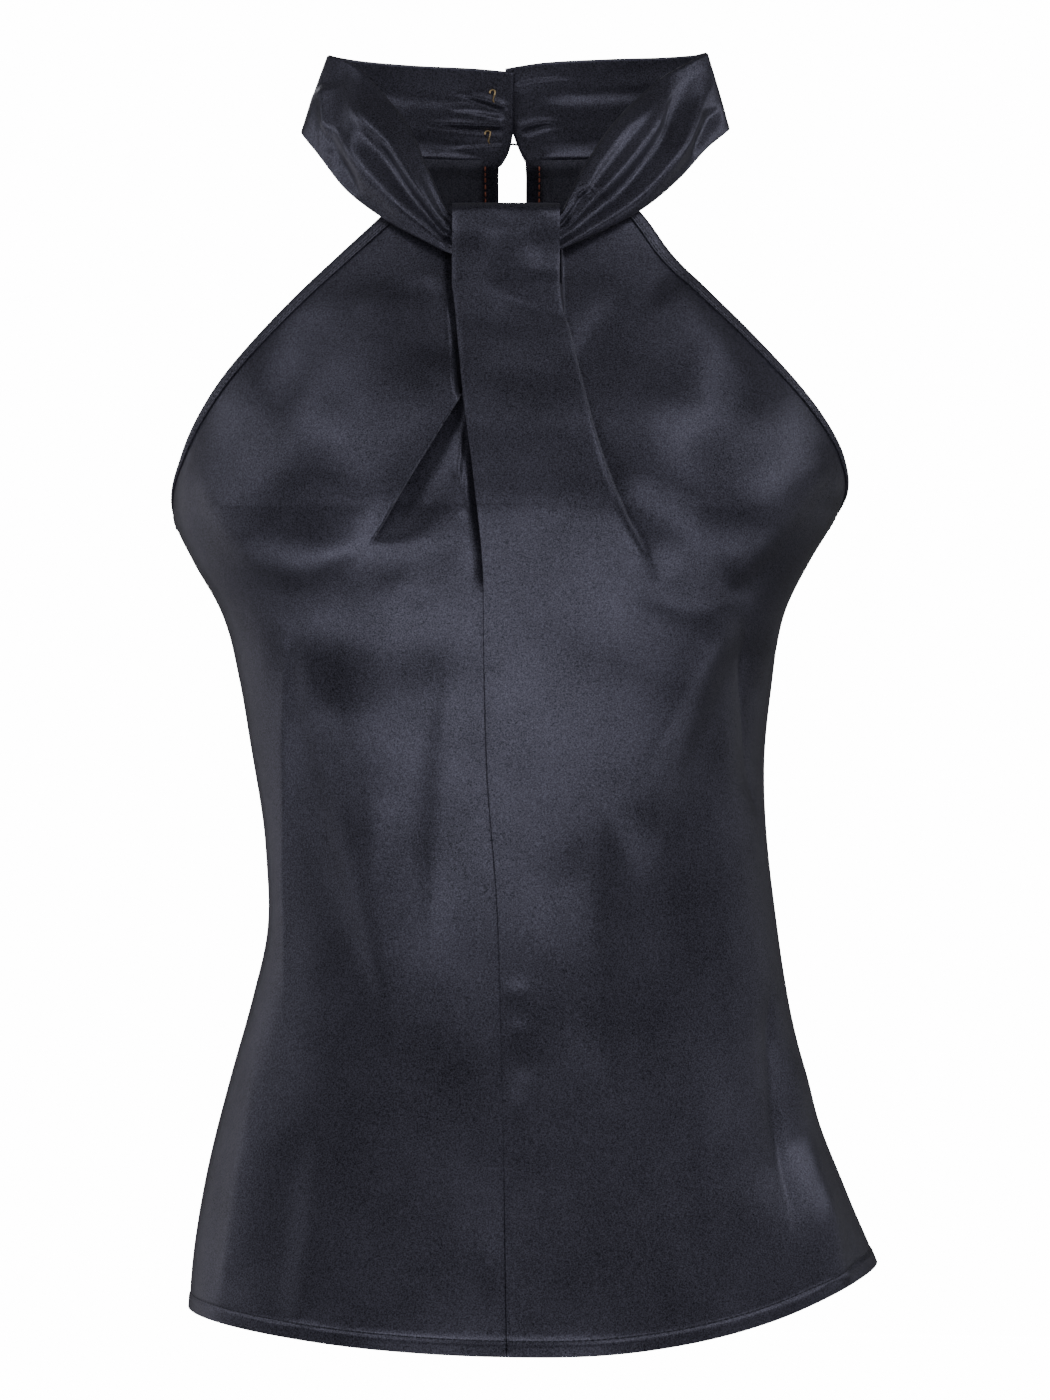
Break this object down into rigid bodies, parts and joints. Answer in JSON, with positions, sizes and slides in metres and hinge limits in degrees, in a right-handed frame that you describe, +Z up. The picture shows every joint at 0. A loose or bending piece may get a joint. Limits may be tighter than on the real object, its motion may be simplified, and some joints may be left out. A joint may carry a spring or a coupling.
{
  "type": "halter top",
  "caption": "Sleeveless halter-neck satin top with a pleated flap looped over a wide collar, keyhole back with covered buttons, fitted waist and curved hem.",
  "frame": {"origin": "middle of the neck opening, level with the seam under the back of the collar", "axes": "+Z up, +X to the right of someone who looks at the front, -Y the way the wearer faces"},
  "size_m": [0.3556, 0.2285, 0.6466],
  "materials": {
    "satin": "heavy satin with a soft sheen",
    "thread": "matt cord",
    "brass": "polished wire"
  },
  "bodies": {
    "root": {"front_left": "satin", "front_right": "satin", "back_left": "satin", "back_right": "satin", "collar": "satin", "binding_front_left": "satin", "binding_front_right": "satin", "binding_back_left": "satin", "binding_back_right": "satin", "hem_front_left": "satin", "hem_front_right": "satin", "hem_back_left": "satin", "hem_back_right": "satin", "facing_back_left": "satin", "facing_back_right": "satin", "button_bottom": "satin", "button_top": "satin", "button_loop_bottom": "thread", "button_loop_top": "thread", "shank_bottom": "brass", "shank_top": "brass"}
  },
  "joints": []
}
